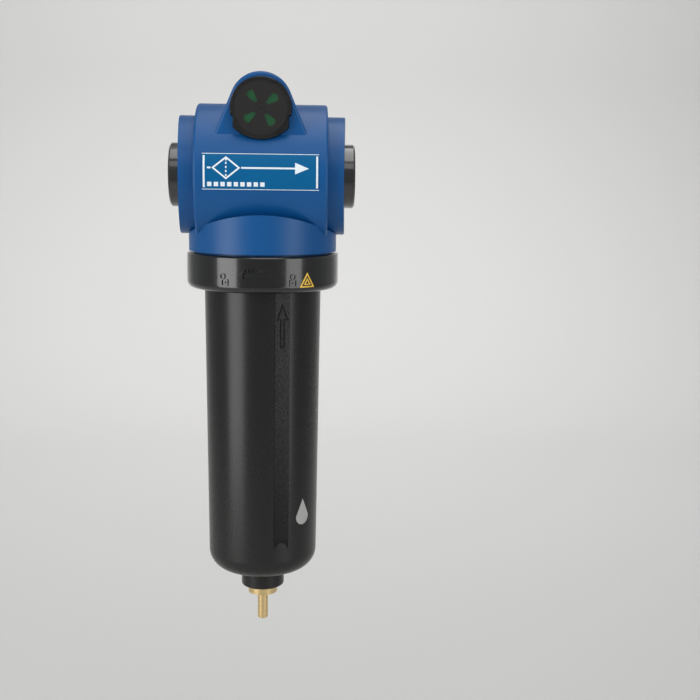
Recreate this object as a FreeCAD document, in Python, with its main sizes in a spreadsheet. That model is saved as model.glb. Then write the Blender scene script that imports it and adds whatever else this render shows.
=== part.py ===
import FreeCAD, Part
import math
import os
import re

import Sketcher

# Compressed air filter with a pipe-mounted head, a bowl held by a coupling ring, a plug-in
# filter element, a pressure indicator and a float drain.
# Millimetres. Origin at the drain outlet's tip, +Z up along the bowl's axis, ports along X,
# indicator on the front, -Y.

doc = FreeCAD.newDocument("compressed_air_filter")

SIZES = [
    # head casting
    ("port_height", 345.0, "height of the port axis"),
    ("barrel_radius", 51.6, "head barrel, lying along X"),
    ("barrel_reach", 47.2, "half length of the barrel"),
    ("ring_radius", 43.0, "flange ring at each end of the barrel"),
    ("ring_reach", 60.7, "half length over the flange rings"),
    ("ring_fall", 2.4, "how far the ring's end face falls back at its edge"),
    ("head_wall", 5.0, "wall of the hollow casting"),
    ("barrel_round", 1.8, "rounding of the barrel's ends"),
    ("ring_round", 1.4, "rounding of the flange rings"),
    ("skirt_radius", 54.8, "skirt under the barrel"),
    ("skirt_base", 290.1, "bottom of the skirt"),
    ("arch_radius", 108.0, "arched top of the skirt, along Y"),
    ("arch_height", 209.8, "height of the arch's axis"),
    ("spigot_radius", 50.5, "spigot inside the coupling ring"),
    ("spigot_base", 270.0, "bottom of the spigot"),
    ("seal_bore", 45.6, "bore that the bowl's neck seals in"),
    ("seal_bore_top", 306.0, "top of that bore"),
    ("tube_radius", 20.5, "outside of the cast air passages"),
    ("passage_radius", 16.5, "inside of the level air passage"),
    ("passage_gap", 4.0, "from the middle to the blind end of a passage"),
    # turret
    ("turret_front", 43.0, "distance of the turret's face from the axis"),
    ("turret_depth", 55.0, "depth of the turret"),
    ("turret_radius", 22.0, "round top of the turret"),
    ("turret_centre", 395.0, "height of that round's centre"),
    ("turret_foot", 42.0, "half width at the foot"),
    ("turret_base", 352.0, "height of the foot, inside the barrel"),
    ("turret_round", 2.2, "rounding of the turret's front edge"),
    # indicator
    ("dial_height", 391.7, "height of the indicator's axis"),
    ("dial_radius", 21.4, "indicator housing"),
    ("dial_flat", 19.3, "half width over the housing's side flats"),
    ("dial_shoulder", 386.7, "height below which the flats run"),
    ("chin_radius", 27.0, "rounding of the housing's underside"),
    ("dial_gap", 0.4, "room round the housing in its pocket"),
    ("pocket_back", 30.0, "distance of the pocket's floor from the axis"),
    ("lens_front", 48.6, "distance of the lens face from the axis"),
    ("lens_back", 46.8, "back of the lens"),
    ("cup_radius", 18.6, "hollow of the indicator housing"),
    ("cup_floor", 39.0, "floor of that hollow"),
    ("mask_thick", 1.0, "sheet of the mask and of the rotor's disc"),
    ("dial_seal_radius", 12.2, "middle line of the indicator's O-ring"),
    ("dial_seal_section", 1.1, "its section"),
    ("piston_radius", 4.6, "indicator piston"),
    ("piston_length", 9.0, "length of the piston"),
    ("magnet_length", 2.0, "length of the magnet"),
    ("piston_bore", 4.65, "bore for it"),
    ("spring_radius", 3.4, "middle line of the return spring's coil"),
    ("spring_start", -26.2, "the spring's front end, along Y"),
    ("spring_length", 8.4, "length of the spring"),
    # port adapters
    ("adapter_radius", 23.4, "port adapter"),
    ("adapter_reach", 67.5, "outer face of the adapters"),
    ("adapter_seat", 48.0, "inner face of the adapters"),
    ("thread_radius", 15.15, "G1 thread, minor radius"),
    ("socket_gap", 0.2, "room round the adapter in its socket"),
    ("seal_groove_start", 4.0, "from the adapter's inner face to its O-ring groove"),
    ("seal_groove_width", 2.4, "width of that groove"),
    ("seal_groove_depth", 1.8, "depth of that groove"),
    ("adapter_bevel", 1.2, "bevel of the adapter's rim"),
    ("thread_bevel", 1.6, "bevel of the thread's mouth"),
    # name plate
    ("label_length", 81.4, "name plate, along X"),
    ("label_height", 25.2, "height of the name plate"),
    ("label_low", 9.7, "its lower edge, under the port axis"),
    ("film", 0.35, "thickness of the name plate"),
    # coupling ring
    ("coupling_radius", 56.4, "coupling ring"),
    ("coupling_top", 288.7, "top of the ring"),
    ("coupling_base", 262.7, "bottom of the ring"),
    ("coupling_round", 5.0, "rounding of its bottom edge"),
    ("coupling_edge", 1.8, "rounding of its top edge"),
    ("coupling_bore", 51.0, "bore round the spigot and the bowl's flange"),
    ("coupling_lip", 44.3, "bore of the lip under the flange"),
    ("coupling_lip_top", 265.9, "top of the lip"),
    # bowl
    ("neck_radius", 45.2, "neck inside the head"),
    ("neck_top", 287.0, "top of the neck"),
    ("neck_bore", 41.9, "bore of the neck"),
    ("bowl_flange_radius", 50.4, "flange that rests on the ring's lip"),
    ("bowl_flange_top", 269.4, "top of the flange"),
    ("bowl_flange_base", 266.3, "underside of the flange"),
    ("bowl_top_radius", 43.5, "bowl just under the flange"),
    ("bowl_foot_radius", 41.2, "bowl at its foot"),
    ("bowl_foot", 44.0, "height of the bowl's underside"),
    ("bowl_wall", 3.6, "wall of the bowl"),
    ("bowl_round", 15.0, "rounding of the foot"),
    ("boss_radius", 16.5, "drain boss"),
    ("boss_base", 28.4, "underside of the boss"),
    ("boss_bore", 6.7, "bore through the boss"),
    # drain
    ("outlet_radius", 4.0, "hose tail of the drain stem"),
    ("shank_radius", 3.5, "the stem inside the drain body"),
    ("outlet_bore", 3.58, "bore that it turns in"),
    ("outlet_top", 38.0, "top of the drain stem"),
    ("drain_flange_radius", 11.3, "brass flange"),
    ("drain_flange_base", 22.2, "underside of the flange"),
    ("drain_flange_top", 27.4, "top of the flange"),
    ("drain_neck_radius", 6.5, "threaded neck of the drain body"),
    ("drain_neck_top", 58.0, "top of the neck"),
    ("stem_hole", 2.0, "hole through the drain stem"),
    ("seat_hole", 1.5, "hole through the valve seat"),
    ("nut_corner", 11.0, "lock nut, to its corners"),
    ("nut_height", 4.6, "height of the lock nut"),
    ("float_radius", 22.0, "float"),
    ("float_bore", 7.2, "bore of the float"),
    ("float_base", 54.0, "underside of the float"),
    ("float_top", 67.5, "top of the float"),
    # filter element
    ("plate_radius", 41.5, "nozzle plate"),
    ("plate_base", 294.0, "underside of the plate"),
    ("plate_top", 297.0, "top of the plate"),
    ("tab_width", 11.0, "width of the red tab"),
    ("tab_depth", 7.0, "how far the tab reaches in from the plate's edge"),
    ("duct_wall", 1.8, "wall of the feed duct"),
    ("pillar_radius", 2.6, "spacer pillar"),
    ("nozzle_spread", 17.5, "half the distance between the nozzles"),
    ("nozzle_radius", 12.4, "nozzle"),
    ("nozzle_bore", 10.7, "bore of the nozzle"),
    ("nozzle_top", 317.0, "top of the nozzles"),
    ("nozzle_socket", 12.8, "socket for a nozzle"),
    ("socket_mouth", 301.0, "mouth of the nozzle sockets"),
    ("cap_radius", 33.6, "end caps"),
    ("cap_height", 16.0, "height of an end cap"),
    ("cap_floor", 3.0, "thickness of a cap's floor"),
    ("top_cap_top", 282.0, "top of the top cap"),
    ("bottom_cap_base", 87.0, "underside of the bottom cap"),
    ("sleeve_radius", 31.8, "expanded-metal sleeve"),
    ("sleeve_wall", 0.8, "sheet of the sleeve"),
    ("media_radius", 30.8, "pleated media"),
    ("media_bore", 23.6, "inside of the media"),
    ("core_radius", 23.4, "inner support tube"),
    ("core_wall", 1.0, "wall of that tube"),
]
ALIASES = {alias for alias, value, note in SIZES}

sheet = doc.addObject("Spreadsheet::Sheet", "Sizes")
for row, (alias, value, note) in enumerate(SIZES, start=1):
    sheet.set(f"A{row}", note)
    sheet.set(f"B{row}", str(value))
    sheet.setAlias(f"B{row}", alias)
doc.recompute()

nodes = {}
X_AXIS = FreeCAD.Rotation(FreeCAD.Vector(0, 1, 0), 90)
Y_AXIS = FreeCAD.Rotation(FreeCAD.Vector(1, 0, 0), -90)
UPRIGHT = FreeCAD.Rotation()


def formula(text):
    """An expression on the sheet's cells, from one written with bare aliases."""
    named = lambda word: f"Sizes.{word[0]}" if word[0] in ALIASES else word[0]
    found = re.sub(r"[a-z][a-z_]+", named, str(text))
    return found


def size(text):
    """The present value of such an expression."""
    return float(sheet.evalExpression(re.sub(r"Sizes\.", "", formula(text))))


def bind(thing, **properties):
    for name, text in properties.items():
        thing.setExpression(name, formula(text))


def place(thing, x="0", y="0", z="0", turn=UPRIGHT):
    """Puts an object at a place worked out from the sheet."""
    thing.Placement = FreeCAD.Placement(FreeCAD.Vector(size(x), size(y), size(z)), turn)
    for axis, text in (("x", x), ("y", y), ("z", z)):
        if text != "0":
            thing.setExpression(f"Placement.Base.{axis}", formula(text))
    return thing


def keep(name, thing):
    """Makes an object one of the finished sub-parts."""
    thing.Label = name
    nodes[name] = thing
    return thing


def rod(name, radius, length, x="0", y="0", z="0", turn=UPRIGHT):
    thing = doc.addObject("Part::Cylinder", name)
    bind(thing, Radius=radius, Height=length)
    return place(thing, x, y, z, turn)


def block(name, length, width, height, x="0", y="0", z="0"):
    thing = doc.addObject("Part::Box", name)
    bind(thing, Length=length, Width=width, Height=height)
    return place(thing, x, y, z)


def hoop(name, radius, section, x="0", y="0", z="0", turn=UPRIGHT):
    """An O-ring: the radius of its middle line and of its section."""
    thing = doc.addObject("Part::Torus", name)
    bind(thing, Radius1=radius, Radius2=section)
    return place(thing, x, y, z, turn)


def joined(name, *shapes):
    thing = doc.addObject("Part::MultiFuse", name)
    thing.Shapes = list(shapes)
    thing.Refine = True
    return thing


def shared(name, *shapes):
    thing = doc.addObject("Part::MultiCommon", name)
    thing.Shapes = list(shapes)
    return thing


def less(name, base, *tools):
    """The base with the tools cut away."""
    tool = tools[0] if len(tools) == 1 else joined(f"{name}_tools", *tools)
    thing = doc.addObject("Part::Cut", name)
    thing.Base = base
    thing.Tool = tool
    return thing


def new_sketch(name, plane):
    body = doc.addObject("PartDesign::Body", name)
    sketch = body.newObject("Sketcher::SketchObject", f"{name}_outline")
    origin = next(part for part in body.Origin.OriginFeatures if part.Role == plane)
    sketch.AttachmentSupport = (origin, [""])
    sketch.MapMode = "FlatFace"
    return body, sketch


def outline(sketch, corners):
    """A closed straight-sided outline, each corner held at two driven distances from the origin."""
    count = len(corners)
    places = [FreeCAD.Vector(size(a), size(b), 0) for a, b in corners]
    for i in range(count):
        sketch.addGeometry(Part.LineSegment(places[i], places[(i + 1) % count]), False)
    for i in range(count):
        sketch.addConstraint(Sketcher.Constraint("Coincident", i, 2, (i + 1) % count, 1))
    for i, (a, b) in enumerate(corners):
        for kind, text, axis in (("DistanceX", a, -2), ("DistanceY", b, -1)):
            if text == "0":
                sketch.addConstraint(Sketcher.Constraint("PointOnObject", i, 1, axis))
            else:
                at = sketch.addConstraint(Sketcher.Constraint(kind, -1, 1, i, 1, size(text)))
                sketch.setExpression(f"Constraints[{at}]", formula(text))


def turned(name, corners):
    """A body of revolution about Z, from (radius, height) corners."""
    body, sketch = new_sketch(name, "XZ_Plane")
    outline(sketch, corners)
    turn = body.newObject("PartDesign::Revolution", f"{name}_turn")
    turn.Profile = sketch
    turn.ReferenceAxis = (sketch, ["V_Axis"])
    turn.Angle = 360
    doc.recompute()
    return body


def rounded(body, radius, *circles):
    """Rounds the circular edges of a turned body that have these (radius, height) values."""
    wanted = [(size(a), size(b)) for a, b in circles]
    names = []
    for number, edge in enumerate(body.Tip.Shape.Edges, start=1):
        curve = edge.Curve
        if isinstance(curve, Part.Circle):
            for r, z in wanted:
                if abs(curve.Radius - r) < 0.01 and abs(curve.Center.z - z) < 0.01:
                    names.append(f"Edge{number}")
    fillet = body.newObject("PartDesign::Fillet", f"{body.Name}_round_{len(body.Group)}")
    fillet.Base = (body.Tip if body.Tip != fillet else body.Group[-2], names)
    bind(fillet, Radius=radius)
    doc.recompute()
    return body


def slab(name, plane, corners, depth, middle=False):
    """A flat-sided body: an outline on one of the origin planes, padded."""
    body, sketch = new_sketch(name, plane)
    outline(sketch, corners)
    pad = body.newObject("PartDesign::Pad", f"{name}_pad")
    pad.Profile = sketch
    bind(pad, Length=depth)
    pad.Midplane = middle
    doc.recompute()
    return body


# ---------------------------------------------------------------- head casting
# Barrel with two flange rings whose end faces fall away front and back by the casting draft.
def end_round(name, radius, reach, rounding):
    """A round bar along X with both ends rounded."""
    bar = turned(name, [("0", f"-{reach}"), (radius, f"-{reach}"), (radius, reach), ("0", reach)])
    rounded(bar, rounding, (radius, f"-{reach}"), (radius, reach))
    return place(bar, z="port_height", turn=X_AXIS)


barrel = end_round("barrel", "barrel_radius", "barrel_reach", "barrel_round")
ring_bar = end_round("ring_bar", "ring_radius", "ring_reach", "ring_round")
draft_plan = slab(
    "draft_plan",
    "XY_Plane",
    [
        ("-ring_reach", "0"),
        ("-ring_reach + ring_fall", "-ring_radius"),
        ("ring_reach - ring_fall", "-ring_radius"),
        ("ring_reach", "0"),
        ("ring_reach - ring_fall", "ring_radius"),
        ("-ring_reach + ring_fall", "ring_radius"),
    ],
    "2 * ring_radius",
)
place(draft_plan, z="port_height - ring_radius")
rings = shared("rings", ring_bar, draft_plan)

# Skirt: an upright cylinder under an arch that runs front to back.
skirt_bar = rod("skirt_bar", "skirt_radius", "port_height - skirt_base", z="skirt_base")
arch = rod("arch", "arch_radius", "2 * skirt_radius", y="-skirt_radius", z="arch_height", turn=Y_AXIS)
skirt = shared("skirt", skirt_bar, arch)
spigot = rod("spigot", "spigot_radius", "skirt_base - spigot_base + 2", z="spigot_base")


def turret_shape():
    """The turret: straight sides that run tangent into a round top, with a back that slopes down."""
    body, sketch = new_sketch("turret_bar", "XZ_Plane")
    radius = size("turret_radius")
    centre = size("turret_centre")
    foot = size("turret_foot")
    base = size("turret_base")
    reach = math.hypot(foot, centre - base)
    lean = math.atan2(centre - base, foot) - math.acos(radius / reach)
    touch = FreeCAD.Vector(radius * math.cos(lean), centre - radius * math.sin(lean), 0)
    touch_left = FreeCAD.Vector(-touch.x, touch.y, 0)
    top = Part.Arc(touch, FreeCAD.Vector(0, centre + radius, 0), touch_left)
    sketch.addGeometry(top, False)
    sketch.addGeometry(Part.LineSegment(touch_left, FreeCAD.Vector(-foot, base, 0)), False)
    sketch.addGeometry(Part.LineSegment(FreeCAD.Vector(-foot, base, 0), FreeCAD.Vector(foot, base, 0)), False)
    sketch.addGeometry(Part.LineSegment(FreeCAD.Vector(foot, base, 0), touch), False)
    sketch.addConstraint(Sketcher.Constraint("Tangent", 0, 2, 1, 1))
    sketch.addConstraint(Sketcher.Constraint("Coincident", 1, 2, 2, 1))
    sketch.addConstraint(Sketcher.Constraint("Coincident", 2, 2, 3, 1))
    sketch.addConstraint(Sketcher.Constraint("Tangent", 3, 2, 0, 1))
    sketch.addConstraint(Sketcher.Constraint("PointOnObject", 0, 3, -2))
    driven = [
        (Sketcher.Constraint("Radius", 0, radius), "turret_radius"),
        (Sketcher.Constraint("DistanceY", -1, 1, 0, 3, centre), "turret_centre"),
        (Sketcher.Constraint("DistanceX", -1, 1, 2, 2, foot), "turret_foot"),
        (Sketcher.Constraint("DistanceX", 2, 1, -1, 1, foot), "turret_foot"),
        (Sketcher.Constraint("DistanceY", -1, 1, 2, 1, base), "turret_base"),
        (Sketcher.Constraint("DistanceY", -1, 1, 2, 2, base), "turret_base"),
    ]
    for constraint, text in driven:
        at = sketch.addConstraint(constraint)
        sketch.setExpression(f"Constraints[{at}]", formula(text))
    pad = body.newObject("PartDesign::Pad", "turret_pad")
    pad.Profile = sketch
    bind(pad, Length="turret_depth")
    pad.Reversed = True
    doc.recompute()
    front = [
        f"Edge{number}"
        for number, edge in enumerate(pad.Shape.Edges, start=1)
        if abs(edge.BoundBox.YMin) < 0.01 and abs(edge.BoundBox.YMax) < 0.01 and edge.BoundBox.ZMax > base + 1
    ]
    fillet = body.newObject("PartDesign::Fillet", "turret_front_round")
    fillet.Base = (pad, front)
    bind(fillet, Radius="turret_round")
    doc.recompute()
    return place(body, y="-turret_front")


turret_bar = turret_shape()
turret_side = slab(
    "turret_side",
    "YZ_Plane",
    [
        ("-turret_front - 1", "turret_base - 1"),
        ("turret_depth - turret_front + 1", "turret_base - 1"),
        ("turret_depth - turret_front + 1", "turret_centre"),
        ("-turret_front + 0.55 * turret_depth", "turret_centre + turret_radius + 0.5"),
        ("-turret_front - 1", "turret_centre + turret_radius + 0.5"),
    ],
    "3 * turret_foot",
    middle=True,
)
turret = shared("turret", turret_bar, turret_side)
outside = joined("head_outside", barrel, rings, skirt, spigot, turret)

# The casting is hollow, with the level and upright air passages standing inside it.
hollow_bar = rod(
    "hollow_bar",
    "barrel_radius - head_wall",
    "2 * (barrel_reach - head_wall)",
    x="-(barrel_reach - head_wall)",
    z="port_height",
    turn=X_AXIS,
)
seal_hole = rod("seal_hole", "seal_bore", "seal_bore_top - spigot_base + 1", z="spigot_base - 1")
hollow = joined("head_hollow", hollow_bar, seal_hole)
level_tube = rod(
    "level_tube", "tube_radius", "2 * barrel_reach - 2", x="-barrel_reach + 1", z="port_height", turn=X_AXIS
)
upright_tubes = [
    rod(f"upright_tube_{side}", "nozzle_socket + 4", "port_height - socket_mouth", x=x, z="socket_mouth")
    for side, x in (("in", "-nozzle_spread"), ("out", "nozzle_spread"))
]
pocket_block = block(
    "pocket_block", "50", "36", "70", x="-25", y="-turret_front - 1", z="port_height + tube_radius - 1"
)
pocket_solid = shared("pocket_solid", pocket_block, outside)
shell = less("head_shell", outside, hollow)
solid_head = joined("head_with_passages", shell, level_tube, *upright_tubes, pocket_solid)

# Everything that is bored or milled in it.
bores = []
for side, sign in (("in", "-"), ("out", "")):
    turn = FreeCAD.Rotation(FreeCAD.Vector(0, 1, 0), -90 if sign else 90)
    bores += [
        rod(
            f"passage_{side}",
            "passage_radius",
            "ring_reach - passage_gap",
            x=f"{sign}passage_gap",
            z="port_height",
            turn=turn,
        ),
        rod(
            f"adapter_socket_{side}",
            "adapter_radius + socket_gap",
            "adapter_reach - adapter_seat",
            x=f"{sign}adapter_seat",
            z="port_height",
            turn=turn,
        ),
        rod(
            f"nozzle_hole_{side}",
            "nozzle_socket",
            "port_height - socket_mouth + 1",
            x=f"{sign}nozzle_spread",
            z="socket_mouth - 1",
        ),
    ]


def dial(name, radius, flat, shoulder, front, back):
    """The indicator's outline, a disc over a chin with flat sides, between two distances off the axis."""
    deep = f"({front}) - ({back})"
    disc = rod(f"{name}_disc", radius, deep, y=f"-({front})", z="dial_height", turn=Y_AXIS)
    wide = f"2 * ({radius})"
    upper = block(f"{name}_upper", wide, deep, wide, f"-({radius})", f"-({front})", shoulder)
    lower = block(
        f"{name}_lower",
        f"2 * ({flat})",
        deep,
        f"({shoulder}) - dial_height + ({radius})",
        x=f"-({flat})",
        y=f"-({front})",
        z=f"dial_height - ({radius})",
    )
    chin = rod(
        f"{name}_chin", "chin_radius", deep, y=f"-({front})", z=f"dial_height - ({radius}) + chin_radius", turn=Y_AXIS
    )
    return joined(name, shared(f"{name}_top", disc, upper), shared(f"{name}_bottom", lower, chin))


pocket = dial(
    "dial_pocket",
    "dial_radius + dial_gap",
    "dial_flat + dial_gap",
    "dial_shoulder - dial_gap",
    "lens_front + 3",
    "pocket_back",
)
spring_hole = rod(
    "spring_hole", "piston_radius + 2", "20", y="-pocket_back - 1", z="dial_height", turn=Y_AXIS
)
keep("head_casting", less("head_casting", solid_head, *bores, pocket, spring_hole))

# ---------------------------------------------------------------- port adapters and their seals
for name, sign in (("inlet", "-"), ("outlet", "")):
    turn = FreeCAD.Rotation(FreeCAD.Vector(0, 1, 0), -90 if sign else 90)
    adapter = turned(
        f"{name}_port_adapter",
        [
            ("thread_radius", "adapter_seat"),
            ("adapter_radius", "adapter_seat"),
            ("adapter_radius", "adapter_seat + seal_groove_start"),
            ("adapter_radius - seal_groove_depth", "adapter_seat + seal_groove_start"),
            ("adapter_radius - seal_groove_depth", "adapter_seat + seal_groove_start + seal_groove_width"),
            ("adapter_radius", "adapter_seat + seal_groove_start + seal_groove_width"),
            ("adapter_radius", "adapter_reach - adapter_bevel"),
            ("adapter_radius - adapter_bevel", "adapter_reach"),
            ("thread_radius + thread_bevel", "adapter_reach"),
            ("thread_radius", "adapter_reach - thread_bevel"),
        ],
    )
    keep(f"{name}_port_adapter", place(adapter, z="port_height", turn=turn))
    seal = hoop(
        f"{name}_port_o_ring",
        "adapter_radius - 0.8",
        "0.95",
        x=f"{sign}(adapter_seat + seal_groove_start + seal_groove_width / 2)",
        z="port_height",
        turn=X_AXIS,
    )
    keep(f"{name}_port_o_ring", seal)

# Name plate: a curved strip on the front of the barrel.
plate_skin = less(
    "plate_skin",
    rod(
        "plate_outer", "barrel_radius + film", "label_length",
        x="-label_length / 2", z="port_height", turn=X_AXIS,
    ),
    rod(
        "plate_inner", "barrel_radius", "label_length + 2",
        x="-label_length / 2 - 1", z="port_height", turn=X_AXIS,
    ),
)
plate_window = block(
    "plate_window",
    "label_length",
    "barrel_radius",
    "label_height",
    x="-label_length / 2",
    y="-barrel_radius - 5",
    z="port_height - label_low",
)
keep("name_plate", shared("name_plate", plate_skin, plate_window))

# ---------------------------------------------------------------- pressure indicator
housing = dial("dial_cup", "dial_radius", "dial_flat", "dial_shoulder", "lens_back", "pocket_back + 1")
cup = rod(
    "cup_hollow", "cup_radius", "lens_back - cup_floor + 1", y="-lens_back - 1", z="dial_height", turn=Y_AXIS
)
cup_bore = rod("cup_bore", "piston_bore", "20", y="-cup_floor - 1", z="dial_height", turn=Y_AXIS)
seal_groove = less(
    "dial_groove",
    rod(
        "groove_outer",
        "dial_seal_radius + 1.8",
        "2 * dial_seal_section",
        y="-pocket_back - 2.6",
        z="dial_height",
        turn=Y_AXIS,
    ),
    rod(
        "groove_inner",
        "dial_seal_radius - 1.8",
        "2 * dial_seal_section",
        y="-pocket_back - 2.6",
        z="dial_height",
        turn=Y_AXIS,
    ),
)
keep("indicator_housing", less("indicator_housing", housing, cup, cup_bore, seal_groove))
keep(
    "indicator_o_ring",
    hoop(
        "indicator_o_ring",
        "dial_seal_radius",
        "dial_seal_section",
        y="-pocket_back - 1.2",
        z="dial_height",
        turn=Y_AXIS,
    ),
)
lens = dial("lens", "dial_radius", "dial_flat", "dial_shoulder", "lens_front", "lens_back")
keep("indicator_lens", lens)


def windows(name, radius_in, radius_out, half_angle, tilt, front, thick):
    """Four fan-shaped windows, as solids that cut through a disc."""
    solids = []
    for quarter in range(4):
        middle = math.radians(45 + 90 * quarter + tilt)
        near = math.radians(half_angle)
        points = []
        for angle, r in ((-near, radius_in), (-near, radius_out), (near, radius_out), (near, radius_in)):
            points.append(FreeCAD.Vector(r * math.cos(middle + angle), 0, r * math.sin(middle + angle)))
        bulge = FreeCAD.Vector(radius_out * 1.1 * math.cos(middle), 0, radius_out * 1.1 * math.sin(middle))
        wire = Part.Wire(
            [
                Part.makeLine(points[0], points[1]),
                Part.Arc(points[1], bulge, points[2]).toShape(),
                Part.makeLine(points[2], points[3]),
                Part.makeLine(points[3], points[0]),
            ]
        )
        solids.append(Part.Face(wire).extrude(FreeCAD.Vector(0, thick, 0)))
    feature = doc.addObject("Part::Feature", name)
    feature.Shape = Part.makeCompound(solids)
    return place(feature, y=front, z="dial_height")


MASK_TILT = -7.5
FAN_HALF_ANGLE = 14
FAN_INNER = 5.4
FAN_OUTER = 13.1
DIAL_AXIS = {"z": "dial_height", "turn": Y_AXIS}
mask_disc = rod("mask_disc", "cup_radius - 0.1", "mask_thick", y="-lens_back + 0.3", **DIAL_AXIS)
fans = windows("mask_windows", FAN_INNER, FAN_OUTER, FAN_HALF_ANGLE, MASK_TILT, "-lens_back", 2)
keep("indicator_mask", less("indicator_mask", mask_disc, fans))

# The rotor's disc carries four raised fans that show green through the windows.
rotor_disc = rod("rotor_disc", "cup_radius - 0.6", "mask_thick", y="-lens_back + 2.4", **DIAL_AXIS)
rotor_hub = rod("rotor_hub", "2.5", "2.4", y="-lens_back + 3.4", **DIAL_AXIS)
rotor_fans = windows(
    "rotor_fans", FAN_INNER - 0.2, FAN_OUTER + 0.6, FAN_HALF_ANGLE + 1.5, MASK_TILT, "-lens_back + 1.9", 0.6
)
rotor_fans.Label = "indicator_rotor_fans"
keep("indicator_rotor", joined("indicator_rotor", rotor_disc, rotor_hub))
keep("indicator_rotor_fans", less("indicator_fans", rotor_fans, rotor_disc))
keep(
    "indicator_piston",
    rod("indicator_piston", "piston_radius", "piston_length", y="-cup_floor + 3.2", **DIAL_AXIS),
)
keep(
    "indicator_magnet",
    rod("indicator_magnet", "piston_radius - 1", "magnet_length", y="-cup_floor + 1.2", **DIAL_AXIS),
)

# The return spring behind the piston, as a thin sleeve of the coil's size.
spring_outer = rod("spring_outer", "spring_radius + 0.35", "spring_length", y="spring_start", **DIAL_AXIS)
spring_inner = rod(
    "spring_inner", "spring_radius - 0.35", "spring_length + 2", y="spring_start - 1", **DIAL_AXIS
)
keep("indicator_spring", less("indicator_spring", spring_outer, spring_inner))

# ---------------------------------------------------------------- coupling ring
coupling = turned(
    "coupling_ring",
    [
        ("coupling_lip", "coupling_base"),
        ("coupling_radius", "coupling_base"),
        ("coupling_radius", "coupling_top"),
        ("coupling_bore", "coupling_top"),
        ("coupling_bore", "coupling_lip_top"),
        ("coupling_lip", "coupling_lip_top"),
    ],
)
rounded(coupling, "coupling_round", ("coupling_radius", "coupling_base"))
rounded(coupling, "coupling_edge", ("coupling_radius", "coupling_top"))
keep("coupling_ring", coupling)


def sticker(name, radius_at, thick, angle, height, corners):
    """A thin label wrapped on an upright round wall whose radius follows from the height."""
    face = Part.Face(Part.makePolygon([FreeCAD.Vector(x, 0, z) for x, z in corners + corners[:1]]))
    prism = face.extrude(FreeCAD.Vector(0, -2 * radius_at(height), 0))
    low = min(z for x, z in corners) - 2
    tall = max(z for x, z in corners) + 2 - low
    near = radius_at(height + low)
    far = radius_at(height + low + tall)
    section = [(near, low), (near + thick, low), (far + thick, low + tall), (far, low + tall)]
    strip = Part.Face(Part.makePolygon([FreeCAD.Vector(r, 0, z) for r, z in section + section[:1]]))
    skin = strip.revolve(FreeCAD.Vector(0, 0, 0), FreeCAD.Vector(0, 0, 1), 360)
    feature = doc.addObject("Part::Feature", name)
    feature.Shape = skin.common(prism)
    feature.Placement = FreeCAD.Placement(
        FreeCAD.Vector(0, 0, height), FreeCAD.Rotation(FreeCAD.Vector(0, 0, 1), angle)
    )
    return feature


def coupling_wall(height):
    return size("coupling_radius")


CAUTION_CORNERS = [(-6.4, -4.6), (6.4, -4.6), (0, 6.0)]
CAUTION_HEIGHT = 271.5
CAUTION_ANGLE = 35.7
caution = sticker("caution_label", coupling_wall, 0.25, CAUTION_ANGLE, CAUTION_HEIGHT, CAUTION_CORNERS)
keep("caution_label", caution)

# ---------------------------------------------------------------- bowl
bowl = turned(
    "bowl_casting",
    [
        ("boss_bore", "boss_base"),
        ("boss_radius", "boss_base"),
        ("boss_radius", "bowl_foot"),
        ("bowl_foot_radius", "bowl_foot"),
        ("bowl_top_radius", "bowl_flange_base"),
        ("bowl_flange_radius", "bowl_flange_base"),
        ("bowl_flange_radius", "bowl_flange_top"),
        ("neck_radius", "bowl_flange_top"),
        ("neck_radius", "neck_top - 8.4"),
        ("neck_radius - 1.8", "neck_top - 8.4"),
        ("neck_radius - 1.8", "neck_top - 5.6"),
        ("neck_radius", "neck_top - 5.6"),
        ("neck_radius", "neck_top - 1"),
        ("neck_radius - 1", "neck_top"),
        ("neck_bore", "neck_top"),
        ("neck_bore", "bowl_flange_base - 2"),
        ("bowl_top_radius - bowl_wall", "bowl_flange_base - 8"),
        ("bowl_foot_radius - bowl_wall", "bowl_foot + bowl_wall"),
        ("boss_bore", "bowl_foot + bowl_wall"),
    ],
)
rounded(bowl, "bowl_round", ("bowl_foot_radius", "bowl_foot"))
rounded(bowl, "bowl_round - bowl_wall", ("bowl_foot_radius - bowl_wall", "bowl_foot + bowl_wall"))
rounded(bowl, "1.5", ("boss_radius", "boss_base"))
keep("bowl_casting", bowl)
keep("bowl_o_ring", hoop("bowl_o_ring", "neck_radius - 0.75", "1.03", z="neck_top - 7"))


def droplet(wide, tall, steps):
    """A drop's outline: a half circle below and two straight sides up to its point."""
    half = wide / 2
    low = [
        (half * math.cos(math.pi + math.pi * i / steps), half * math.sin(math.pi + math.pi * i / steps))
        for i in range(steps + 1)
    ]
    return low + [(0, tall - half)]


def bowl_side(height):
    """The bowl's outside, which widens from its foot to its flange."""
    share = (height - size("bowl_foot")) / size("bowl_flange_base - bowl_foot")
    return size("bowl_foot_radius") + share * size("bowl_top_radius - bowl_foot_radius") + 0.02


DROPLET_HEIGHT = 92
DROPLET_ANGLE = 47
drop = sticker("droplet_label", bowl_side, 0.3, DROPLET_ANGLE, DROPLET_HEIGHT, droplet(13, 20, 12))
keep("droplet_label", drop)

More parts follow.
